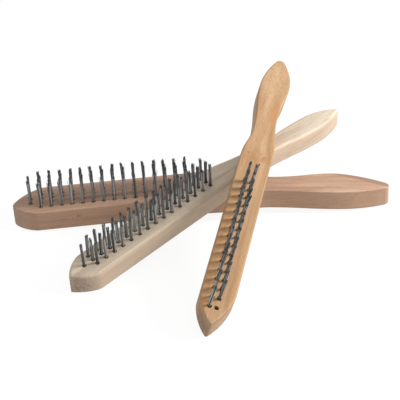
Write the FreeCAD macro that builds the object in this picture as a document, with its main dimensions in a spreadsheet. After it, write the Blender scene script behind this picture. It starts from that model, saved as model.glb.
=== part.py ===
import FreeCAD, Part
import math
import os
import Sketcher

# Three wooden wire scratch brushes, laid across each other. The wide brush lies on the ground with its
# bristles up, the middle brush leans across its neck, and the narrow brush leans on the middle one.
#
# Each brush is modelled in its own frame: X runs from the nose to the end of the handle, Y runs across
# and Z points out of the bristle face. X is 0 at the first column of tufts, Y is 0 on the block's centre
# line and Z is 0 on the flat back of the block.

SHARED_SIZES = {
    "column_count": 16,
    "column_pitch": 8.0,
    "plank_thickness": 15.8,
    "nose_overhang": 14.5,
    "bend_start": 126.0,
    "bend_radius": 266.0,
    "bend_angle": 6.7,
    "tuft_diameter": 2.7,
    "tuft_taper": 0.8,
    "tuft_exposed": 20.0,
    "hole_diameter": 3.3,
    "hole_depth": 11.5,
    "anchor_length": 4.4,
    "anchor_width": 2.0,
    "anchor_gauge": 0.4,
    "anchor_turn": 40.0,
    "fold_height": 1.0,
    "lower_edge_radius": 1.2,
    "bevel_x": 239.3,
    "bevel_y": 14.8,
    "bevel_turn": 29.6,
    "bevel_fall": 10.0,
}

# The sides of a brush are not quite alike. The nose and the end come to an edge at nose_y and end_y.
BRUSH_SIZES = {
    "wide": {
        "row_pitch": 6.4, "row_offset": -1.5, "half_width": 20.2,
        "nose_y": -5.0, "nose_radius": 8.0, "cheek_radius": 12.0, "upper_edge_radius": 1.0,
        "end_at": 285.0, "end_y": -3.0, "end_radius": 7.0,
        "bearing_x": 0.0, "bearing_y": 1.5, "bearing_z": 0.69, "turn": 0.0, "tilt": 3.16, "roll": 0.0,
    },
    "middle": {
        "row_pitch": 4.9, "row_offset": 0.8, "half_width": 12.9,
        "nose_y": 0.0, "nose_radius": 1.0, "cheek_radius": 10.0, "upper_edge_radius": 2.5,
        "end_at": 274.5, "end_y": -1.5, "end_radius": 2.5,
        "bearing_x": 39.6, "bearing_y": -94.7, "bearing_z": 2.31, "turn": 38.2, "tilt": 10.11, "roll": 8.0,
    },
    "narrow": {
        "row_pitch": 4.9, "row_offset": 1.3, "half_width": 12.0,
        "nose_y": 0.0, "nose_radius": 1.5, "cheek_radius": 10.0, "upper_edge_radius": 1.2,
        "end_at": 291.0, "end_y": 1.0, "end_radius": 4.0,
        "bearing_x": 119.6, "bearing_y": -152.9, "bearing_z": 3.42, "turn": 70.8, "tilt": 15.44, "roll": 15.9,
    },
}

# Each side's outline from the nose to the grip: where its parts end along X, half widths, and the
# radius of the nose facet's bulge. The near side has negative Y and the far side positive Y.
SIDE_SIZES = {
    "wide": {
        "near": {
            "cheek_at": 4.0, "nose_curve": 28.0, "shoulder_at": 142.0,
            "neck_at": 184.0, "neck_half": 12.4, "grip_at": 236.0, "grip_half": 15.1,
        },
        "far": {
            "cheek_at": 9.0, "nose_curve": 45.0, "shoulder_at": 142.0,
            "neck_at": 188.0, "neck_half": 10.4, "grip_at": 241.0, "grip_half": 16.6,
        },
    },
    "middle": {
        "near": {
            "cheek_at": 2.0, "nose_curve": 40.0, "shoulder_at": 130.0,
            "neck_at": 180.0, "neck_half": 7.3, "grip_at": 238.0, "grip_half": 10.0,
        },
        "far": {
            "cheek_at": 4.0, "nose_curve": 30.0, "shoulder_at": 114.0,
            "neck_at": 172.0, "neck_half": 6.9, "grip_at": 240.0, "grip_half": 10.0,
        },
    },
    "narrow": {
        "near": {
            "cheek_at": 15.0, "nose_curve": 58.0, "shoulder_at": 158.0,
            "neck_at": 204.0, "neck_half": 8.3, "grip_at": 250.0, "grip_half": 11.8,
        },
        "far": {
            "cheek_at": 9.0, "nose_curve": 44.0, "shoulder_at": 148.0,
            "neck_at": 184.0, "neck_half": 8.1, "grip_at": 243.0, "grip_half": 12.2,
        },
    },
}

# The tufts stand in rows. The flag says whether a row has a tuft in the first column, at the nose.
BRUSH_ROWS = {
    "wide": [False, True, True, False],
    "middle": [False, True, False],
    "narrow": [True, True],
}

# Spare wood around the finished outline.
WASTE = 6.0

# The bevel's cut, all of it larger than the wood it takes away: how far it runs back from its start and
# on towards the handle's end, and its width and depth.
BEVEL_BACK = 30.0
BEVEL_ON = 70.0
BEVEL_WIDTH = 40.0
BEVEL_DEPTH = 20.0

doc = FreeCAD.newDocument("scratch_brushes")
dims = doc.addObject("Spreadsheet::Sheet", "dims")


def fill_sheet():
    """Write every driving dimension into the sheet, each with its alias."""
    cells = dict(SHARED_SIZES)
    for brush, sizes in BRUSH_SIZES.items():
        for name, value in sizes.items():
            cells[f"{brush}_{name}"] = value
        for side, outline in SIDE_SIZES[brush].items():
            for name, value in outline.items():
                cells[f"{brush}_{side}_{name}"] = value
    for row, (alias, value) in enumerate(cells.items(), start=1):
        dims.set(f"A{row}", alias)
        dims.set(f"B{row}", str(value))
        dims.setAlias(f"B{row}", alias)
    doc.recompute()


def size(alias):
    """The value of a driving dimension."""
    return float(dims.get(alias))


def bind(item, prop, formula):
    """Bind a property to a formula in which each sheet alias stands in braces."""
    item.setExpression(prop, formula.replace("{", "dims.").replace("}", ""))


def new_body(label):
    """An empty body."""
    body = doc.addObject("PartDesign::Body", label)
    body.Label = label
    return body


def origin_item(body, role):
    """One of the body's origin planes or axes."""
    return next(item for item in body.Origin.OriginFeatures if item.Role == role)


def new_sketch(body, name, role):
    """A sketch on one of the body's origin planes."""
    sketch = body.newObject("Sketcher::SketchObject", f"{body.Label}_{name}")
    sketch.AttachmentSupport = [(origin_item(body, role), "")]
    sketch.MapMode = "FlatFace"
    return sketch


def dimension(sketch, name, formula, *reference):
    """A named dimension of the sketch, bound to a formula."""
    index = sketch.addConstraint(Sketcher.Constraint(*reference))
    sketch.renameConstraint(index, name)
    bind(sketch, f"Constraints.{name}", formula)


def line(sketch, start, end):
    """A line, given back as its index and the numbers of its first and last ends."""
    index = sketch.addGeometry(Part.LineSegment(FreeCAD.Vector(*start), FreeCAD.Vector(*end)))
    return index, 1, 2


def arc(sketch, centre, start, end, clockwise):
    """An arc from start to end, given back as its index and the numbers of its first and last ends."""
    radius = math.dist(centre, start)
    circle = Part.Circle(FreeCAD.Vector(*centre), FreeCAD.Vector(0, 0, 1), radius)
    angles = [math.atan2(point[1] - centre[1], point[0] - centre[0]) for point in (start, end)]
    if clockwise:
        angles.reverse()
    if angles[1] < angles[0]:
        angles[1] += 2 * math.pi
    index = sketch.addGeometry(Part.ArcOfCircle(circle, *angles))
    return (index, 2, 1) if clockwise else (index, 1, 2)


def join(sketch, before, after, smooth=True):
    """Join the last end of one piece to the first end of the next, tangent or as a corner."""
    kind = "Tangent" if smooth else "Coincident"
    sketch.addConstraint(Sketcher.Constraint(kind, before[0], before[2], after[0], after[1]))


def feature(body, kind, name, sketch, **values):
    """A pad, pocket or similar feature made from a sketch."""
    item = body.newObject(f"PartDesign::{kind}", f"{body.Label}_{name}")
    item.Profile = sketch
    for prop, value in values.items():
        setattr(item, prop, value)
    return item


def tangent_step(length, drop):
    """Radius of two equal arcs that step sideways by drop over length, level at both ends."""
    return (length ** 2 + drop ** 2) / (4 * drop)


def bulged_centre(start, end, radius):
    """Centre of the arc of a radius that bulges to the left on its way from start to end."""
    middle = ((start[0] + end[0]) / 2, (start[1] + end[1]) / 2)
    chord = math.dist(start, end)
    reach = math.sqrt(radius ** 2 - (chord / 2) ** 2) / chord
    return (middle[0] + (end[1] - start[1]) * reach, middle[1] - (end[0] - start[0]) * reach)


def plank_profile(body, brush):
    """Side view of the plank: a flat block and a handle that bends back, evenly thick."""
    thick, bend, radius = size("plank_thickness"), size("bend_start"), size("bend_radius")
    angle = math.radians(size("bend_angle"))
    first = -size("nose_overhang") - WASTE
    far = size(f"{brush}_end_at") + WASTE
    centre = (bend, -radius)
    turned = (bend + radius * math.sin(angle), radius * math.cos(angle) - radius)
    turned_top = (turned[0] + thick * math.sin(angle), turned[1] + thick * math.cos(angle))
    end = (far, turned[1] - (far - turned[0]) * math.tan(angle))
    end_top = (end[0] + thick * math.sin(angle), end[1] + thick * math.cos(angle))

    sketch = new_sketch(body, "side_view", "XZ_Plane")
    back = line(sketch, (first, 0), (bend, 0))
    back_bend = arc(sketch, centre, (bend, 0), turned, clockwise=True)
    back_slope = line(sketch, turned, end)
    tail = line(sketch, end, end_top)
    face_slope = line(sketch, end_top, turned_top)
    face_bend = arc(sketch, centre, turned_top, (bend, thick), clockwise=False)
    face = line(sketch, (bend, thick), (first, thick))
    front = line(sketch, (first, thick), (first, 0))
    pairs = ((back, back_bend), (back_bend, back_slope), (face_slope, face_bend), (face_bend, face))
    for before, after in pairs:
        join(sketch, before, after)
    for before, after in ((back_slope, tail), (tail, face_slope), (face, front), (front, back)):
        join(sketch, before, after, smooth=False)
    sketch.addConstraint(Sketcher.Constraint("Horizontal", back[0]))
    sketch.addConstraint(Sketcher.Constraint("PointOnObject", back[0], 1, -1))
    sketch.addConstraint(Sketcher.Constraint("Vertical", front[0]))
    sketch.addConstraint(Sketcher.Constraint("Horizontal", face[0]))
    sketch.addConstraint(Sketcher.Constraint("Parallel", back_slope[0], face_slope[0]))
    sketch.addConstraint(Sketcher.Constraint("Perpendicular", back_slope[0], tail[0]))
    sketch.addConstraint(Sketcher.Constraint("Coincident", back_bend[0], 3, face_bend[0], 3))
    dimension(sketch, "thickness", "{plank_thickness}", "DistanceY", front[0], 2, front[0], 1, thick)
    dimension(sketch, "nose_end", f"{{nose_overhang}} + {WASTE}", "DistanceX", back[0], 1, -1, 1, -first)
    dimension(sketch, "bend_start", "{bend_start}", "DistanceX", -1, 1, back[0], 2, bend)
    dimension(sketch, "bend_radius", "{bend_radius}", "Radius", back_bend[0], radius)
    dimension(sketch, "bend_angle", "{bend_angle}", "Angle", back_slope[0], 1, -1, 1, angle)
    dimension(sketch, "far_end", f"{{{brush}_end_at}} + {WASTE}", "DistanceX", -1, 1, back_slope[0], 2, far)
    return sketch


def waste_outline(body, brush, side):
    """Plan view of the spare wood on one side, from the nose to the handle's end.

    Each side of a brush is a curved nose facet, a straight side, two equal arcs in to the neck, two
    equal arcs out to the grip, and one arc to the handle's end. The near side is drawn upside down.
    """
    prefix = f"{brush}_{side}"
    stations = ("cheek", "shoulder", "neck", "grip")
    cheek, shoulder, neck, grip = (size(f"{prefix}_{name}_at") for name in stations)
    neck_half, grip_half = (size(f"{prefix}_{name}_half") for name in ("neck", "grip"))
    half, end = size(f"{brush}_half_width"), size(f"{brush}_end_at")
    sign = 1 if side == "far" else -1
    nose_y, end_y = (sign * size(f"{brush}_{name}_y") for name in ("nose", "end"))
    nose = -size("nose_overhang")
    nose_curve = size(f"{prefix}_nose_curve")
    neck_radius = tangent_step(neck - shoulder, half - neck_half)
    grip_radius = tangent_step(grip - neck, grip_half - neck_half)
    end_drop = grip_half - end_y
    end_radius = ((end - grip) ** 2 + end_drop ** 2) / (2 * end_drop)
    neck_middle = ((shoulder + neck) / 2, (half + neck_half) / 2)
    grip_middle = ((neck + grip) / 2, (neck_half + grip_half) / 2)
    outer = half + WASTE
    first, last = nose - WASTE, end + 2 * WASTE

    sketch = new_sketch(body, f"{side}_plan_view", "XY_Plane")
    if side == "near":
        sketch.AttachmentOffset = FreeCAD.Placement(FreeCAD.Vector(), FreeCAD.Rotation(0, 0, 180))
    facet_centre = bulged_centre((nose, nose_y), (cheek, half), nose_curve)
    facet = arc(sketch, facet_centre, (nose, nose_y), (cheek, half), True)
    flank = line(sketch, (cheek, half), (shoulder, half))
    shoulder_arc = arc(sketch, (shoulder, half - neck_radius), (shoulder, half), neck_middle, True)
    neck_arc = arc(sketch, (neck, neck_half + neck_radius), neck_middle, (neck, neck_half), False)
    waist_arc = arc(sketch, (neck, neck_half + grip_radius), (neck, neck_half), grip_middle, False)
    grip_arc = arc(sketch, (grip, grip_half - grip_radius), grip_middle, (grip, grip_half), True)
    end_arc = arc(sketch, (grip, grip_half - end_radius), (grip, grip_half), (end, end_y), True)
    corners = [(end, end_y), (last, end_y), (last, outer), (first, outer), (first, nose_y), (nose, nose_y)]
    after_end, far_side, outer_side, near_side, before_nose = (
        line(sketch, start, stop) for start, stop in zip(corners, corners[1:])
    )

    smooth = [flank, shoulder_arc, neck_arc, waist_arc, grip_arc, end_arc]
    for before, after in zip(smooth, smooth[1:]):
        join(sketch, before, after)
    sharp = [end_arc, after_end, far_side, outer_side, near_side, before_nose, facet, flank]
    for before, after in zip(sharp, sharp[1:]):
        join(sketch, before, after, smooth=False)
    for level in (flank, outer_side, after_end, before_nose):
        sketch.addConstraint(Sketcher.Constraint("Horizontal", level[0]))
    for upright in (far_side, near_side):
        sketch.addConstraint(Sketcher.Constraint("Vertical", upright[0]))
    for level_at_end in (neck_arc, grip_arc):
        sketch.addConstraint(
            Sketcher.Constraint("Vertical", level_at_end[0], 3, level_at_end[0], level_at_end[2])
        )
    sketch.addConstraint(Sketcher.Constraint("Equal", shoulder_arc[0], neck_arc[0]))
    sketch.addConstraint(Sketcher.Constraint("Equal", waist_arc[0], grip_arc[0]))

    dimension(sketch, "nose", "{nose_overhang}", "DistanceX", facet[0], facet[1], -1, 1, -nose)
    dimension(sketch, "nose_curve", f"{{{prefix}_nose_curve}}", "Radius", facet[0], nose_curve)
    pieces = (facet, flank, neck_arc, grip_arc)
    for name, piece, value in zip(stations, pieces, (cheek, shoulder, neck, grip)):
        dimension(sketch, name, f"{{{prefix}_{name}_at}}", "DistanceX", -1, 1, piece[0], piece[2], value)
    dimension(sketch, "end", f"{{{brush}_end_at}}", "DistanceX", -1, 1, end_arc[0], end_arc[2], end)
    dimension(sketch, "half_width", f"{{{brush}_half_width}}", "DistanceY", -1, 1, flank[0], flank[2], half)
    for name, piece, value in (("neck_half", neck_arc, neck_half), ("grip_half", grip_arc, grip_half)):
        dimension(sketch, name, f"{{{prefix}_{name}}}", "DistanceY", -1, 1, piece[0], piece[2], value)
    outside = f"{{{brush}_half_width}} + {WASTE}"
    dimension(sketch, "nose_side", f"{outside} - {sign} * {{{brush}_nose_y}}", "DistanceY",
              near_side[0], 2, near_side[0], 1, outer - nose_y)
    dimension(sketch, "end_side", f"{outside} - {sign} * {{{brush}_end_y}}", "DistanceY",
              far_side[0], 1, far_side[0], 2, outer - end_y)
    dimension(sketch, "side_spare", outside, "DistanceY", -1, 1, far_side[0], 2, outer)
    dimension(sketch, "near_spare", f"{{nose_overhang}} + {WASTE}", "DistanceX",
              near_side[0], 2, -1, 1, -first)
    dimension(sketch, "far_spare", f"{{{brush}_end_at}} + {2 * WASTE}", "DistanceX",
              -1, 1, far_side[0], 1, last)
    return sketch


def facing(face):
    """Z part of a face's outward normal at its middle."""
    low_u, high_u, low_v, high_v = face.ParameterRange
    return face.normalAt((low_u + high_u) / 2, (low_v + high_v) / 2).z


def rim_edges(shape, side):
    """Names of the edges between the bristle face (side 1) or the back (side -1) and the walls."""
    names = []
    for number, edge in enumerate(shape.Edges, start=1):
        slopes = [facing(face) * side for face in shape.ancestorsOfType(edge, Part.Face)]
        if max(slopes) > 0.9 and min(slopes) < 0.5:
            names.append(f"Edge{number}")
    return names


def upright_edges(shape, places):
    """Names of the tall edges that stand within half a millimetre of any of some places in plan."""
    names = []
    for number, edge in enumerate(shape.Edges, start=1):
        box = edge.BoundBox
        near = (math.dist((box.Center.x, box.Center.y), place) < 0.5 for place in places)
        if box.ZLength > 10 and any(near):
            names.append(f"Edge{number}")
    return names


def round_edges(body, base, name, edges, radius):
    """Round some edges of a feature to a radius given by a formula."""
    fillet = body.newObject("PartDesign::Fillet", f"{body.Label}_{name}")
    fillet.Base = (base, edges)
    bind(fillet, "Radius", radius)
    doc.recompute()
    return fillet


def shaped_block(body, brush):
    """The block and handle: a bent plank, cut to its outline on each side and rounded."""
    plank = feature(body, "Pad", "plank", plank_profile(body, brush), SideType="Symmetric")
    bind(plank, "Length", f"2 * {{{brush}_half_width}} + {WASTE}")
    for side in ("near", "far"):
        outline = waste_outline(body, brush, side)
        cut = feature(body, "Pocket", f"{side}_waste", outline, SideType="Symmetric", Type="ThroughAll")
    doc.recompute()

    half = size(f"{brush}_half_width")
    cheek_places = [(size(f"{brush}_near_cheek_at"), -half), (size(f"{brush}_far_cheek_at"), half)]
    nose_place = (-size("nose_overhang"), size(f"{brush}_nose_y"))
    end_place = (size(f"{brush}_end_at"), size(f"{brush}_end_y"))
    corners = (("cheek", cheek_places), ("nose", [nose_place]), ("end", [end_place]))
    rounded = cut
    for name, places in corners:
        edges = upright_edges(rounded.Shape, places)
        rounded = round_edges(body, rounded, name, edges, f"{{{brush}_{name}_radius}}")
    upper_edges = rim_edges(rounded.Shape, 1)
    upper = round_edges(body, rounded, "upper_rim", upper_edges, f"{{{brush}_upper_edge_radius}}")
    round_edges(body, upper, "lower_rim", rim_edges(upper.Shape, -1), "{lower_edge_radius}")


def bevelled_grip(body, brush):
    """Plane a shallow flat off the far edge of the grip, falling away from a slanting line on its face."""
    angle = math.radians(size("bend_angle"))
    outer_radius = size("bend_radius") + size("plank_thickness")
    run = size("bevel_x") - size("bend_start") - outer_radius * math.sin(angle)
    height = outer_radius * math.cos(angle) - size("bend_radius") - run * math.tan(angle)
    slope = FreeCAD.Rotation(0, size("bend_angle"), 0)
    turn = FreeCAD.Rotation(-size("bevel_turn"), 0, 0)
    fall = FreeCAD.Rotation(0, 0, -size("bevel_fall"))
    sketch = new_sketch(body, "bevel", "XY_Plane")
    start = FreeCAD.Vector(size("bevel_x"), size("bevel_y"), height)
    sketch.AttachmentOffset = FreeCAD.Placement(start, slope * turn * fall)
    back, on, wide = -BEVEL_BACK, BEVEL_ON, BEVEL_WIDTH
    corners = [(back, 0), (on, 0), (on, wide), (back, wide), (back, 0)]
    sides = [line(sketch, first, last) for first, last in zip(corners, corners[1:])]
    for before, after in zip(sides, sides[1:] + sides[:1]):
        join(sketch, before, after, smooth=False)
    feature(body, "Pocket", "bevel", sketch, Length=BEVEL_DEPTH, Reversed=True)


def row_places(brush):
    """For each row: its number, its formula for Y, the formula for its first tuft's X, and its tuft count."""
    flags = BRUSH_ROWS[brush]
    middle = (len(flags) - 1) / 2
    for number, has_nose_tuft in enumerate(flags, start=1):
        across = f"{{{brush}_row_offset}} + {number - 1 - middle} * {{{brush}_row_pitch}}"
        along = "0 * {column_pitch}" if has_nose_tuft else "{column_pitch}"
        count = int(size("column_count")) - (0 if has_nose_tuft else 1)
        yield number, across, along, count


def row_sketch(body, name, along, across, height, turn="0"):
    """A sketch around the first tuft's axis in a row, at a height above the block's back."""
    sketch = new_sketch(body, name, "XY_Plane")
    bind(sketch, "AttachmentOffset.Base.x", f"({along}) * 1 mm")
    bind(sketch, "AttachmentOffset.Base.y", f"({across}) * 1 mm")
    bind(sketch, "AttachmentOffset.Base.z", f"({height}) * 1 mm")
    bind(sketch, "AttachmentOffset.Rotation.Angle", turn)
    return sketch


def round_sketch(body, name, along, across, height, diameter):
    """A circle around the first tuft's axis in a row."""
    sketch = row_sketch(body, name, along, across, height)
    index = sketch.addGeometry(Part.Circle(FreeCAD.Vector(0, 0, 0), FreeCAD.Vector(0, 0, 1), 1.0))
    sketch.addConstraint(Sketcher.Constraint("Coincident", index, 3, -1, 1))
    dimension(sketch, "diameter", diameter, "Diameter", index, 2.0)
    return sketch


def anchor_sketch(body, name, along, across, height):
    """The plan of an anchor: a thin oblong across the first tuft's axis in a row, turned off the grain."""
    sketch = row_sketch(body, name, along, across, height, "{anchor_turn}")
    corners = [(-2, -1), (2, -1), (2, 1), (-2, 1), (-2, -1)]
    sides = [line(sketch, first, last) for first, last in zip(corners, corners[1:])]
    for before, after in zip(sides, sides[1:] + sides[:1]):
        join(sketch, before, after, smooth=False)
    for side, direction in zip(sides, ("Horizontal", "Vertical", "Horizontal", "Vertical")):
        sketch.addConstraint(Sketcher.Constraint(direction, side[0]))
    sketch.addConstraint(Sketcher.Constraint("Symmetric", sides[0][0], 1, sides[2][0], 1, -1, 1))
    dimension(sketch, "long_side", "{anchor_length}", "DistanceX", sides[0][0], 1, sides[0][0], 2, 4.0)
    dimension(sketch, "short_side", "{anchor_gauge}", "DistanceY", sides[1][0], 1, sides[1][0], 2, 2.0)
    return sketch


def repeat_along_row(body, name, originals, count):
    """Repeat features down the row at the column pitch."""
    pattern = body.newObject("PartDesign::LinearPattern", f"{body.Label}_{name}")
    pattern.Originals = originals
    pattern.Direction = (origin_item(body, "X_Axis"), [""])
    bind(pattern, "Length", f"{count - 1} * {{column_pitch}}")
    pattern.Occurrences = count
    body.Tip = pattern
    doc.recompute()


def drill_rows(body, brush):
    """Drill a blind hole for each tuft, with the slit that its anchor cuts on the way down."""
    for number, across, along, count in row_places(brush):
        name = f"row_{number}"
        mouth = round_sketch(body, f"{name}_mouth", along, across, "{plank_thickness}", "{hole_diameter}")
        hole = feature(body, "Pocket", f"{name}_hole", mouth)
        bind(hole, "Length", "{hole_depth}")
        slit_plan = anchor_sketch(body, f"{name}_slit_plan", along, across, "{plank_thickness}")
        slit = feature(body, "Pocket", f"{name}_slit", slit_plan)
        bind(slit, "Length", "{hole_depth} - {fold_height}")
        repeat_along_row(body, f"{name}_holes", [hole, slit], count)


def handle(brush):
    """The wooden block with its handle."""
    body = new_body(f"{brush}_brush_handle")
    shaped_block(body, brush)
    if brush == "wide":
        bevelled_grip(body, brush)
    drill_rows(body, brush)
    return body


def tuft_row(brush, number, across, along, count):
    """The tufts of one row. Each is a bunch of wires with its fold under the anchor."""
    body = new_body(f"{brush}_brush_tuft_row_{number}")
    base = round_sketch(body, "base", along, across, "{plank_thickness}", "{tuft_diameter}")
    bunch = feature(body, "Pad", "bunch", base, SideType="Two sides")
    bind(bunch, "Length", "{tuft_exposed}")
    bind(bunch, "TaperAngle", "-{tuft_taper}")
    bind(bunch, "Length2", "{hole_depth}")
    top = "{plank_thickness} - {hole_depth} + {fold_height} + {anchor_width}"
    gap = feature(body, "Pocket", "anchor_gap", anchor_sketch(body, "gap_plan", along, across, top))
    bind(gap, "Length", "{anchor_width}")
    repeat_along_row(body, "bunches", [bunch, gap], count)
    return body


def anchor_row(brush, number, across, along, count):
    """The flat wire anchors of one row."""
    body = new_body(f"{brush}_brush_anchor_row_{number}")
    bottom = "{plank_thickness} - {hole_depth} + {fold_height}"
    anchor = feature(body, "Pad", "anchor", anchor_sketch(body, "plan", along, across, bottom))
    bind(anchor, "Length", "{anchor_width}")
    repeat_along_row(body, "anchors", [anchor], count)
    return body


def brush_bodies(brush):
    """Every piece of one brush, in the brush's own frame."""
    bodies = [handle(brush)]
    for row in row_places(brush):
        bodies.append(tuft_row(brush, *row))
        bodies.append(anchor_row(brush, *row))
    return bodies


def resting_place(brush):
    """Where a brush lies and how it leans: turned on the ground, tilted up and rolled about its length."""
    bearing = FreeCAD.Vector(*(size(f"{brush}_bearing_{axis}") for axis in "xyz"))
    lean = FreeCAD.Rotation(size(f"{brush}_turn"), -size(f"{brush}_tilt"), size(f"{brush}_roll"))
    return FreeCAD.Placement(bearing, lean)


def lay_out(brushes):
    """Place the brushes, with the middle of the whole stack over the origin and its lowest point on Z 0."""
    for brush, bodies in brushes.items():
        for body in bodies:
            body.Placement = resting_place(brush)
    box = FreeCAD.BoundBox()
    for bodies in brushes.values():
        box.add(bodies[0].Shape.optimalBoundingBox(False, False))
    shift = FreeCAD.Placement(FreeCAD.Vector(-box.Center.x, -box.Center.y, -box.ZMin), FreeCAD.Rotation())
    for bodies in brushes.values():
        for body in bodies:
            body.Placement = shift * body.Placement


def check(bodies):
    """Stop if any object failed, or if a piece has no sound shape."""
    for item in doc.Objects:
        if "Invalid" in item.State or "Error" in item.State:
            raise RuntimeError(f"{item.Label} failed: {item.State}")
    for body in bodies:
        if body.Shape.isNull() or not body.Shape.isValid() or not body.Shape.Solids:
            raise RuntimeError(f"{body.Label} has no sound shape")


def write(bodies):
    """Write each piece to a file of its own."""
    os.makedirs("parts", exist_ok=True)
    for body in bodies:
        body.Shape.exportStep(f"parts/{body.Label}.step")
        print(f"{body.Label}: {len(body.Shape.Solids)} solids, {body.Shape.Volume:.0f} mm3")


fill_sheet()
all_brushes = {brush: brush_bodies(brush) for brush in BRUSH_SIZES}
doc.recompute()
lay_out(all_brushes)
doc.recompute()
every_body = [body for bodies in all_brushes.values() for body in bodies]
check(every_body)
write(every_body)
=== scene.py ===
import bpy
import math
import numpy as np
import random
from mathutils import Matrix, Vector


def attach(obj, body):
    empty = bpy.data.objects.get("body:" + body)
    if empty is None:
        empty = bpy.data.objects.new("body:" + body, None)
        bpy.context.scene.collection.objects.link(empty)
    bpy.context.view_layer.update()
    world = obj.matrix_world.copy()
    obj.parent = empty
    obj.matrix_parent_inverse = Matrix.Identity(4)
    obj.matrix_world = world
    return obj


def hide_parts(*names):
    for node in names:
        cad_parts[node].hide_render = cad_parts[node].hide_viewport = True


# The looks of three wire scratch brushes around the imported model. Every length is in metres, and every
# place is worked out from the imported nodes: each brush gets its own frame from its rows of tufts.
#
# A brush's own frame: the origin is on the bristle face, level with the first column of tufts and halfway
# between the handle's two sides. X runs to the handle's end, Y across, and Z out of the bristle face.

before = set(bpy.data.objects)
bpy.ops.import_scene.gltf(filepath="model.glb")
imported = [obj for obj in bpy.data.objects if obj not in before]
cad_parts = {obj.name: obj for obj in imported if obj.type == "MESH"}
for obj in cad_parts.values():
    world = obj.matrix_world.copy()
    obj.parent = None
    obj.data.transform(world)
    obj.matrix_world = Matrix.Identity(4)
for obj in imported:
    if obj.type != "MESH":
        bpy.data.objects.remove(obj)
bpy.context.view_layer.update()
MM = 0.001
ROWS = {"wide": 4, "middle": 3, "narrow": 2}

# Corners this close to the highest one are taken as tuft tops, and a wider step along a row is the gap
# between two tufts. The tolerance is too tight for the narrow brush: its direction is slightly off, so the
# nose tuft of row 1 isn't found and gets no wires, and that of row 2 is found only in part.
TOP_TOLERANCE = 0.05 * MM
TUFT_GAP = 2 * MM

CAMERA_TARGET = (-1.4 * MM, 46.4 * MM, 0.0)
CAMERA_DISTANCE = 904 * MM
CAMERA_AZIMUTH = 6.12
CAMERA_ELEVATION = 29.24
CAMERA_LENS = 102.1
SENSOR_WIDTH = 36.0


# ---------------------------------------------------------------- places on the brushes

def corners(name):
    """The corners of a CAD node's mesh, one row each."""
    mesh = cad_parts[name].data
    points = np.empty(len(mesh.vertices) * 3)
    mesh.vertices.foreach_get("co", points)
    return points.reshape(-1, 3)


def row_tops(name):
    """Direction that a row's tufts point in, and the corners of their flat tops."""
    up = max((polygon.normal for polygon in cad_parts[name].data.polygons), key=lambda n: n.z)
    up = np.array(up)
    points = corners(name)
    heights = points @ up
    return up, points[heights > heights.max() - TOP_TOLERANCE]


def row_line(tops):
    """Unit vector along a row of tufts, and the middle of each tuft's top in order."""
    centred = tops - tops.mean(axis=0)
    along = np.linalg.svd(centred, full_matrices=False)[2][0]
    along *= np.sign(along[0])
    places = centred @ along
    order = np.argsort(places)
    breaks = np.nonzero(np.diff(places[order]) > TUFT_GAP)[0] + 1
    return along, [tops[group].mean(axis=0) for group in np.split(order, breaks)]


class Brush:
    """One brush's own frame, and where its tufts come out of the wood."""

    def __init__(self, name):
        self.name = name
        self.handle = f"{name}_brush_handle"
        rows = [f"{name}_brush_tuft_row_{number}" for number in range(1, ROWS[name] + 1)]
        tops = {row: row_tops(row) for row in rows}
        lines = {row: row_line(tops[row][1]) for row in rows}
        self.z_axis = tops[rows[0]][0]
        self.x_axis = lines[rows[0]][0]
        self.y_axis = np.cross(self.z_axis, self.x_axis)
        axes = np.array([self.x_axis, self.y_axis, self.z_axis])
        body = corners(self.handle) @ axes.T
        first_column = min((top @ self.x_axis) for row in rows for top in lines[row][1])
        across = (body[:, 1].min() + body[:, 1].max()) / 2
        self.origin = np.array([first_column, across, body[:, 2].max()]) @ axes
        self.matrix = Matrix.Translation(self.origin) @ Matrix(axes.T).to_4x4()
        face = body[:, 2].max()
        self.tufts = {
            row: [top - self.z_axis * (top @ self.z_axis - face) for top in lines[row][1]] for row in rows
        }
        self.tuft_length = lines[rows[0]][1][0] @ self.z_axis - face

    def mesh_object(self, name, vertices, faces, face_slots, materials):
        """A mesh in the brush's own frame, riding on the brush."""
        mesh = bpy.data.meshes.new(name)
        mesh.from_pydata(vertices, [], faces)
        for material in materials:
            mesh.materials.append(material)
        mesh.polygons.foreach_set("material_index", face_slots)
        mesh.polygons.foreach_set("use_smooth", [True] * len(mesh.polygons))
        mesh.update()
        item = bpy.data.objects.new(name, mesh)
        bpy.context.scene.collection.objects.link(item)
        item.matrix_world = self.matrix
        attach(item, f"{self.name}_brush")
        return item


# ---------------------------------------------------------------- material nodes

def new_material(name):
    """An empty node material with a Principled shader wired to its output."""
    material = bpy.data.materials.new(name)
    material.use_nodes = True
    tree = material.node_tree
    tree.nodes.clear()
    output = tree.nodes.new("ShaderNodeOutputMaterial")
    shader = tree.nodes.new("ShaderNodeBsdfPrincipled")
    tree.links.new(shader.outputs["BSDF"], output.inputs["Surface"])
    return material, tree, shader


def put(tree, socket, value):
    """Wire an output into a socket, or set the socket to a plain value."""
    if isinstance(value, bpy.types.NodeSocket):
        tree.links.new(value, socket)
    else:
        socket.default_value = value


def math_node(tree, operation, *values):
    """A Math node's result."""
    node = tree.nodes.new("ShaderNodeMath")
    node.operation = operation
    for socket, value in zip(node.inputs, values):
        put(tree, socket, value)
    return node.outputs[0]


def vector_node(tree, operation, *values):
    """A Vector Math node. Gives back its value for a dot product, or else its vector."""
    node = tree.nodes.new("ShaderNodeVectorMath")
    node.operation = operation
    for socket, value in zip(node.inputs, values):
        put(tree, socket, value)
    return node.outputs["Value" if operation == "DOT_PRODUCT" else "Vector"]


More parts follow.
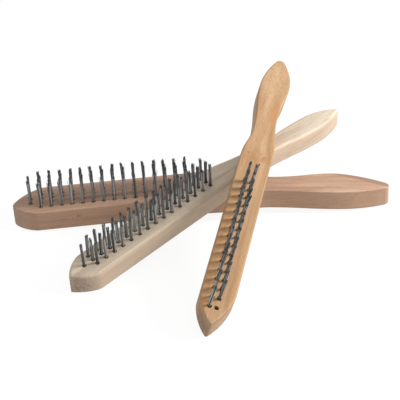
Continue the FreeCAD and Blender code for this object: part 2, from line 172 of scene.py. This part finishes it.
def step_between(tree, value, low, high):
    """Rises smoothly from 0 to 1 as the value goes from low to high."""
    node = tree.nodes.new("ShaderNodeMapRange")
    node.interpolation_type = "SMOOTHSTEP"
    put(tree, node.inputs["Value"], value)
    put(tree, node.inputs["From Min"], low)
    put(tree, node.inputs["From Max"], high)
    return node.outputs["Result"]


def mixed(tree, factor, first, second):
    """Two colours mixed by a factor."""
    node = tree.nodes.new("ShaderNodeMix")
    node.data_type = "RGBA"
    put(tree, node.inputs[0], factor)
    put(tree, node.inputs[6], first)
    put(tree, node.inputs[7], second)
    return node.outputs[2]


def scaled(tree, vector, scale, offset=(0, 0, 0)):
    """Coordinates stretched by a scale for each axis, then moved."""
    node = tree.nodes.new("ShaderNodeMapping")
    put(tree, node.inputs["Vector"], vector)
    put(tree, node.inputs["Scale"], scale)
    put(tree, node.inputs["Location"], offset)
    return node.outputs["Vector"]


def noise(tree, vector, detail=4.0, roughness=0.5):
    """Noise of scale 1 at the coordinates."""
    node = tree.nodes.new("ShaderNodeTexNoise")
    put(tree, node.inputs["Vector"], vector)
    put(tree, node.inputs["Scale"], 1.0)
    put(tree, node.inputs["Detail"], detail)
    put(tree, node.inputs["Roughness"], roughness)
    return node.outputs["Fac"]


def srgb(red, green, blue):
    """A colour given in 0 to 255 display values, as the shader wants it."""
    def linear(value):
        value /= 255
        return value / 12.92 if value <= 0.04045 else ((value + 0.055) / 1.055) ** 2.4
    return (linear(red), linear(green), linear(blue), 1.0)


# ---------------------------------------------------------------- wood

def brush_millimetres(tree, brush):
    """Coordinates in the brush's own frame, in millimetres."""
    source = tree.nodes.new("ShaderNodeTexCoord")
    node = tree.nodes.new("ShaderNodeMapping")
    node.vector_type = "TEXTURE"
    put(tree, node.inputs["Vector"], source.outputs["Object"])
    put(tree, node.inputs["Location"], brush.matrix.to_translation())
    put(tree, node.inputs["Rotation"], brush.matrix.to_euler())
    put(tree, node.inputs["Scale"], (MM, MM, MM))
    return node.outputs["Vector"]


def patch(tree, place, centre, reach):
    """1 at a place on the brush, fading to 0 at its reach along each axis. Both are in millimetres."""
    apart = vector_node(tree, "DIVIDE", vector_node(tree, "SUBTRACT", place, centre), reach)
    square = vector_node(tree, "DOT_PRODUCT", apart, apart)
    return math_node(tree, "SUBTRACT", 1.0, step_between(tree, square, 0.0, 1.0))


def beyond_line(tree, place, start, turn):
    """1 on the face beyond a slanting line on it, and 0 before it. The turn is in degrees."""
    angle = math.radians(turn)
    apart = vector_node(tree, "SUBTRACT", place, start)
    past = vector_node(tree, "DOT_PRODUCT", apart, (math.sin(angle), math.cos(angle), 0))
    return step_between(tree, past, 0.0, 0.8)


def share(tree, amount, most):
    """An amount from 0 to 1 turned down, so that it goes no higher than the most."""
    return math_node(tree, "MULTIPLY", amount, most)


def facing(tree, geometry, axis):
    """How nearly the surface faces along an axis: 1 along it, 0 across it and -1 against it."""
    return vector_node(tree, "DOT_PRODUCT", geometry.outputs["Normal"], tuple(axis))


# The planed strip on the far edge of the wide brush's grip: its inner line's start and turn, and the tone of
# the painted shade that darkens it, as it is turned away from the key light.
BEVEL_START = (239.3, 14.8, 0.0)
BEVEL_TURN = 29.6
BEVEL_SHADE_TONE = (122, 92, 72)

# Each brush's wood: dark, middle and light grain, fleck, side walls and end grain.
WOOD_TONES = {
    "wide": [
        (147, 116, 96), (158, 128, 106), (170, 138, 115),
        (110, 82, 64), (139, 110, 88), (156, 128, 112),
    ],
    "middle": [
        (165, 150, 132), (176, 162, 143), (187, 174, 157),
        (135, 114, 95), (168, 146, 124), (152, 135, 116),
    ],
    "narrow": [
        (143, 110, 76), (155, 122, 88), (165, 133, 100),
        (116, 80, 49), (147, 114, 82), (145, 122, 98),
    ],
}

# Each brush's own marks, and patches of painted shade and painted light: middle and reach in its own frame
# in millimetres, strength, and tone.
WOOD_MARKS_AND_PAINTED_SHADING = {
    "wide": [
        # Painted shade: the nose end darkened, as it lies farthest from the key light and under the tufts'
        # shadows.
        ((-14.0, 0.0, -8.0), (16.0, 28.0, 18.0), 0.6, (112, 88, 72)),
        ((36.0, -20.0, -6.0), (2.4, 4.0, 1.4), 0.8, (92, 62, 44)),
        ((60.0, -20.0, -9.0), (60.0, 4.0, 2.6), 0.45, (128, 92, 70)),
        ((254.0, 14.0, -12.0), (30.0, 7.0, 7.0), 0.5, (146, 108, 84)),
        ((228.0, -14.0, -20.0), (26.0, 6.0, 2.5), 0.35, (134, 96, 72)),
    ],
    "middle": [
        # Painted shade: the nose darkened on its front, as that facet faces away from the key light.
        ((-14.0, -6.0, -9.0), (15.0, 13.0, 13.0), 0.8, (120, 100, 80)),
        ((150.0, -9.0, -2.0), (26.0, 4.0, 6.0), 0.4, (182, 154, 122)),
        ((40.0, 10.0, 0.0), (60.0, 6.0, 4.0), 0.35, (184, 158, 130)),
        ((215.0, -10.0, -14.0), (22.0, 5.0, 5.0), 0.3, (190, 160, 128)),
    ],
    "narrow": [
        # Painted shade: a warm darker strip along the face's left side, where the tufts' shadows fall.
        ((40.0, 8.0, 0.0), (90.0, 7.0, 6.0), 0.5, (160, 108, 58)),
        # Painted shade: the nose's left facet darkened, as it faces away from the key light.
        ((-14.0, 8.0, -10.0), (20.0, 12.0, 12.0), 0.9, (112, 82, 62)),
        # Painted light: the nose's right facet lightened, as it faces the key light.
        ((-12.0, -9.0, -10.0), (22.0, 10.0, 11.0), 0.7, (176, 150, 124)),
        ((146.0, 0.0, 0.0), (3.0, 14.0, 5.0), 0.6, (150, 98, 54)),
        ((149.0, -6.0, 0.0), (4.0, 2.6, 5.0), 0.7, (128, 80, 42)),
        ((151.0, 7.0, 0.0), (3.0, 2.0, 5.0), 0.7, (128, 80, 42)),
        ((208.0, -5.0, -8.0), (26.0, 4.0, 9.0), 0.55, (160, 106, 60)),
        ((246.0, -3.0, -16.0), (2.0, 8.0, 9.0), 0.7, (146, 94, 52)),
        ((252.0, -7.0, -16.0), (9.0, 1.6, 9.0), 0.7, (146, 94, 52)),
        # Painted light: a paler strip along the face's right edge, which faces the key light.
        ((30.0, -10.0, 0.0), (60.0, 2.4, 5.0), 0.3, (180, 128, 78)),
        ((250.0, 1.0, -16.0), (44.0, 14.0, 14.0), 0.45, (186, 158, 126)),
    ],
}


def grain(tree, bent, tones, seed):
    """Broad bands of dark, middle and light wood."""
    dark, middle, light = tones
    broad = noise(tree, scaled(tree, bent, (0.006, 0.16, 0.12), (seed, 3, 1)), 3.0, 0.5)
    colour = mixed(tree, step_between(tree, broad, 0.34, 0.5), dark, middle)
    return mixed(tree, step_between(tree, broad, 0.5, 0.68), colour, light)


def with_flecks(tree, bent, colour, fleck, seed):
    """Long thin streaks, and the short flecks of beech, over a colour."""
    streak = noise(tree, scaled(tree, bent, (0.018, 1.3, 0.9), (seed, 8, 2)), 6.0, 0.62)
    colour = mixed(tree, share(tree, step_between(tree, streak, 0.50, 0.68), 0.42), colour, fleck)
    flecks = noise(tree, scaled(tree, bent, (0.45, 2.6, 2.6), (seed, 5, 7)), 2.0, 0.6)
    return mixed(tree, share(tree, step_between(tree, flecks, 0.56, 0.72), 0.40), colour, fleck)


def with_end_grain(tree, place, lengthwise, colour, end_grain, fleck, seed):
    """Pored end grain where the surface faces along the brush."""
    pores = noise(tree, scaled(tree, place, (1.6, 1.6, 1.6), (seed, 1, 1)), 3.0)
    end_colour = mixed(tree, share(tree, pores, 0.35), end_grain, fleck)
    return mixed(tree, share(tree, step_between(tree, lengthwise, 0.35, 0.85), 0.75), colour, end_colour)


def with_marks_and_painted_shading(tree, place, colour, marks_and_shading, seed):
    """Knots, stains and cracks, and patches of painted shade and painted light, with ragged edges over a
    colour.
    """
    for centre, reach, strength, tone in marks_and_shading:
        ragged = noise(tree, scaled(tree, place, (0.5, 0.5, 0.5), (seed, 6, centre[0])), 4.0, 0.65)
        spot = patch(tree, place, centre, reach)
        amount = math_node(tree, "MULTIPLY", spot, step_between(tree, ragged, 0.3, 0.6))
        colour = mixed(tree, share(tree, amount, strength), colour, srgb(*tone))
    return colour


def with_shaded_planed_strip(tree, place, upright, colour):
    """The planed strip on the wide brush's grip, darkened with painted shade, as it is turned away from the
    key light.
    """
    beyond = beyond_line(tree, place, BEVEL_START, BEVEL_TURN)
    planed_shade = math_node(tree, "MULTIPLY", beyond, step_between(tree, upright, 0.75, 0.9))
    return mixed(tree, share(tree, planed_shade, 0.75), colour, srgb(*BEVEL_SHADE_TONE))


def sanded_bump(tree, bent, seed):
    """The fine ridges that sanding leaves along the grain."""
    bump = tree.nodes.new("ShaderNodeBump")
    put(tree, bump.inputs["Height"], noise(tree, scaled(tree, bent, (0.2, 3.0, 3.0), (seed, 2, 6)), 3.0))
    put(tree, bump.inputs["Strength"], 0.25)
    put(tree, bump.inputs["Distance"], 0.15 * MM)
    return bump.outputs["Normal"]


def wood(brush, tones, marks_and_shading, seed):
    """Bare sanded beech with its grain along the brush, its own knots, stains and cracks, and patches of
    painted shade and painted light.
    """
    dark, middle, light, fleck, side_tone, end_grain = (srgb(*tone) for tone in tones)
    material, tree, shader = new_material(f"{brush.name}_handle_wood")
    place = brush_millimetres(tree, brush)
    geometry = tree.nodes.new("ShaderNodeNewGeometry")
    sideways = math_node(tree, "ABSOLUTE", facing(tree, geometry, brush.y_axis))
    lengthwise = math_node(tree, "ABSOLUTE", facing(tree, geometry, brush.x_axis))

    wander = noise(tree, scaled(tree, place, (0.012, 0.04, 0.04), (seed, 0, 0)), 2.0)
    bent = vector_node(tree, "ADD", place, scaled(tree, wander, (0, 9.0, 9.0)))
    colour = grain(tree, bent, (dark, middle, light), seed)
    colour = mixed(tree, share(tree, step_between(tree, sideways, 0.5, 0.95), 0.7), colour, side_tone)
    colour = with_flecks(tree, bent, colour, fleck, seed)
    colour = with_end_grain(tree, place, lengthwise, colour, end_grain, fleck, seed)
    colour = with_marks_and_painted_shading(tree, place, colour, marks_and_shading, seed)
    # The wide brush's planed strip is darkened with painted shade.
    if brush.name == "wide":
        colour = with_shaded_planed_strip(tree, place, facing(tree, geometry, brush.z_axis), colour)

    put(tree, shader.inputs["Base Color"], colour)
    put(tree, shader.inputs["Roughness"], 0.6)
    put(tree, shader.inputs["Specular IOR Level"], 0.3)
    put(tree, shader.inputs["Normal"], sanded_bump(tree, bent, seed))
    return material


# ---------------------------------------------------------------- wire

def steel(name, colour, roughness, metallic):
    """Plain steel."""
    material, tree, shader = new_material(name)
    put(tree, shader.inputs["Base Color"], colour)
    put(tree, shader.inputs["Roughness"], roughness)
    put(tree, shader.inputs["Metallic"], metallic)
    return material


WIRE_RADIUS = 0.17 * MM
WIRE_SIDES = 5
HAIRPINS = 11
BUNCH_RADIUS = 1.02 * MM
TOP_RADIUS = 1.15 * MM
FOLD_DEPTH = 10.4 * MM
HEIGHTS = (0.0, 0.25, 0.5, 0.72, 0.9, 1.0)
CLUMPS = 2
HAIRPIN_TURN = 2.39996
TUFT_LEAN = 0.35 * MM
WIRE_BOW = 0.06 * MM
TIP_SCATTER = 0.2 * MM
STRAY_SCATTER = 0.8 * MM
STRAY_CHANCE = 0.04

# A wire's length takes one of the first three wire materials, and its two tips take the fourth.
TIP_SLOT = 3


def ring(points, faces, slots, centre, previous, slot):
    """Add a ring of corners around a wire's line, joined to the ring before it."""
    start = len(points)
    for side in range(WIRE_SIDES):
        angle = 2 * math.pi * side / WIRE_SIDES
        x = centre[0] + WIRE_RADIUS * math.cos(angle)
        y = centre[1] + WIRE_RADIUS * math.sin(angle)
        points.append((x, y, centre[2]))
    if previous is not None:
        for side in range(WIRE_SIDES):
            after = (side + 1) % WIRE_SIDES
            faces.append((previous + side, previous + after, start + after, start + side))
            slots.append(slot)
    return start


def wire_leg(draw, base, clump, tilt, length):
    """The line of one wire above the wood, from the mouth of its hole to its tip."""
    top = (base[0] * TOP_RADIUS / BUNCH_RADIUS, base[1] * TOP_RADIUS / BUNCH_RADIUS)
    pull = draw.uniform(0.1, 0.4)
    scatter = STRAY_SCATTER if draw.random() < STRAY_CHANCE else TIP_SCATTER
    tip = [
        top[axis] + (clump[axis] - top[axis]) * pull + tilt[axis] + draw.gauss(0, scatter) for axis in (0, 1)
    ]
    reach = length * draw.uniform(0.93, 1.03)
    bow = [draw.gauss(0, WIRE_BOW) for axis in (0, 1)]
    line = []
    for part in HEIGHTS:
        belly = math.sin(math.pi * part)
        x, y = (base[axis] + (tip[axis] - base[axis]) * part ** 1.6 + bow[axis] * belly for axis in (0, 1))
        line.append((x, y, reach * part))
    return line


def bunch(draw, points, faces, slots, centre, length):
    """One tuft: hairpins of wire pushed into a hole, their ends spreading in two clumps above it."""
    clumps = []
    turn = draw.uniform(0, 2 * math.pi)
    for number in range(CLUMPS):
        angle = turn + number * 2 * math.pi / CLUMPS + draw.uniform(-0.4, 0.4)
        reach = TOP_RADIUS * draw.uniform(0.5, 1.2)
        clumps.append((reach * math.cos(angle), reach * math.sin(angle)))
    tilt = (draw.gauss(0, TUFT_LEAN), draw.gauss(0, TUFT_LEAN))
    for number in range(HAIRPINS):
        spread = BUNCH_RADIUS * math.sqrt((number + 0.5) / HAIRPINS)
        angle = number * HAIRPIN_TURN + draw.uniform(-0.2, 0.2)
        base = (spread * math.cos(angle), abs(spread * math.sin(angle)))
        line = []
        for side in (1, -1):
            foot = (base[0], base[1] * side)
            clump = min(clumps, key=lambda spot: math.dist(spot, foot))
            leg = wire_leg(draw, foot, clump, tilt, length)
            line.append(leg[::-1] if side == 1 else leg)
        fold = [
            (base[0], base[1] * 0.6, -FOLD_DEPTH * 0.9),
            (base[0], 0, -FOLD_DEPTH),
            (base[0], -base[1] * 0.6, -FOLD_DEPTH * 0.9),
        ]
        path = line[0] + fold + line[1]
        tone = draw.randrange(TIP_SLOT)
        previous = None
        for index, spot in enumerate(path):
            near_tip = index < 2 or index > len(path) - 2
            where = (centre[0] + spot[0], centre[1] + spot[1], centre[2] + spot[2])
            start = ring(points, faces, slots, where, previous, TIP_SLOT if near_tip else tone)
            if previous is None:
                faces.append(tuple(range(start, start + WIRE_SIDES)))
                slots.append(TIP_SLOT)
            previous = start
        faces.append(tuple(reversed(range(previous, previous + WIRE_SIDES))))
        slots.append(TIP_SLOT)


def tuft_row(brush, row, materials, seed):
    """The wires of one row of tufts, in place of the row's plain CAD bunches."""
    draw = random.Random(seed)
    points, faces, slots = [], [], []
    inverse = brush.matrix.inverted()
    for mouth in brush.tufts[row]:
        bunch(draw, points, faces, slots, inverse @ Vector(mouth), brush.tuft_length)
    wires = brush.mesh_object(f"{row}_wires", points, faces, slots, materials)
    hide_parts(row)


# ---------------------------------------------------------------- camera, floor and light

FLOOR_TONE = (0.10, 0.10, 0.10, 1)
FLOOR_GLOW = 0.9
FLOOR_HALF = 12.0
FLOOR_DROP = 0.1 * MM

KEY_PLACE = (0.63, -0.11, 0.42)
KEY_AIM = (0.0, 0.0, 0.03)
KEY_SIZE = 0.2
KEY_POWER = 7.6
SURROUND_STRENGTH = 0.95


def add_camera():
    """A long lens in front of the brushes, looking down on them."""
    azimuth, elevation = math.radians(CAMERA_AZIMUTH), math.radians(CAMERA_ELEVATION)
    level = math.cos(elevation)
    away = Vector((-math.sin(azimuth) * level, -math.cos(azimuth) * level, math.sin(elevation)))
    data = bpy.data.cameras.new("camera")
    data.lens = CAMERA_LENS
    data.sensor_width = SENSOR_WIDTH
    data.clip_start = 0.01
    camera = bpy.data.objects.new("camera", data)
    camera.location = Vector(CAMERA_TARGET) + away * CAMERA_DISTANCE
    camera.rotation_euler = away.to_track_quat("Z", "Y").to_euler()
    bpy.context.scene.collection.objects.link(camera)
    bpy.context.scene.camera = camera


def add_floor():
    """A plain floor that gives off white light of its own, so that shadows on it stay faint."""
    material, tree, shader = new_material("floor_white")
    put(tree, shader.inputs["Base Color"], FLOOR_TONE)
    put(tree, shader.inputs["Roughness"], 0.9)
    put(tree, shader.inputs["Specular IOR Level"], 0.0)
    put(tree, shader.inputs["Emission Color"], (1, 1, 1, 1))
    put(tree, shader.inputs["Emission Strength"], FLOOR_GLOW)
    mesh = bpy.data.meshes.new("floor")
    signs = [(-1, -1), (1, -1), (1, 1), (-1, 1)]
    mesh.from_pydata([(x * FLOOR_HALF, y * FLOOR_HALF, 0) for x, y in signs], [], [(0, 1, 2, 3)])
    mesh.materials.append(material)
    floor = bpy.data.objects.new("floor", mesh)
    floor.location = (0, 0, -FLOOR_DROP)
    bpy.context.scene.collection.objects.link(floor)


def add_light(name, place, aim, size, power):
    """A square soft light at a place, aimed at a point."""
    data = bpy.data.lights.new(name, "AREA")
    data.size = size
    data.energy = power
    light = bpy.data.objects.new(name, data)
    light.location = place
    light.rotation_euler = (Vector(place) - Vector(aim)).to_track_quat("Z", "Y").to_euler()
    bpy.context.scene.collection.objects.link(light)


def add_lights():
    """A soft key light up on the right, and an even white surround."""
    add_light("key", KEY_PLACE, KEY_AIM, KEY_SIZE, KEY_POWER)
    world = bpy.data.worlds.new("studio")
    world.use_nodes = True
    background = world.node_tree.nodes["Background"]
    background.inputs["Color"].default_value = (1, 1, 1, 1)
    background.inputs["Strength"].default_value = SURROUND_STRENGTH
    bpy.context.scene.world = world
    bpy.context.scene.view_settings.view_transform = "Standard"


# ---------------------------------------------------------------- the object

wire_materials = [
    steel("wire_grey", (0.225, 0.235, 0.238, 1), 0.42, 0.45),
    steel("wire_pale", (0.42, 0.43, 0.43, 1), 0.36, 0.45),
    steel("wire_deep", (0.10, 0.104, 0.106, 1), 0.5, 0.45),
    steel("wire_tip", (0.15, 0.15, 0.15, 1), 0.5, 0.45),
]
anchor_steel = steel("anchor_wire", (0.45, 0.45, 0.46, 1), 0.35, 1.0)

for order, brush_name in enumerate(ROWS):
    brush = Brush(brush_name)
    handle_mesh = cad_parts[brush.handle].data
    handle_mesh.materials.clear()
    grain_seed = 11.0 * (order + 1)
    handle_mesh.materials.append(wood(brush, WOOD_TONES[brush_name], WOOD_MARKS_AND_PAINTED_SHADING[brush_name], grain_seed))
    for number, row_name in enumerate(brush.tufts, start=1):
        tuft_row(brush, row_name, wire_materials, 100 * order + number)
        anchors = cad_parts[row_name.replace("tuft", "anchor")].data
        anchors.materials.clear()
        anchors.materials.append(anchor_steel)

add_camera()
add_floor()
add_lights()
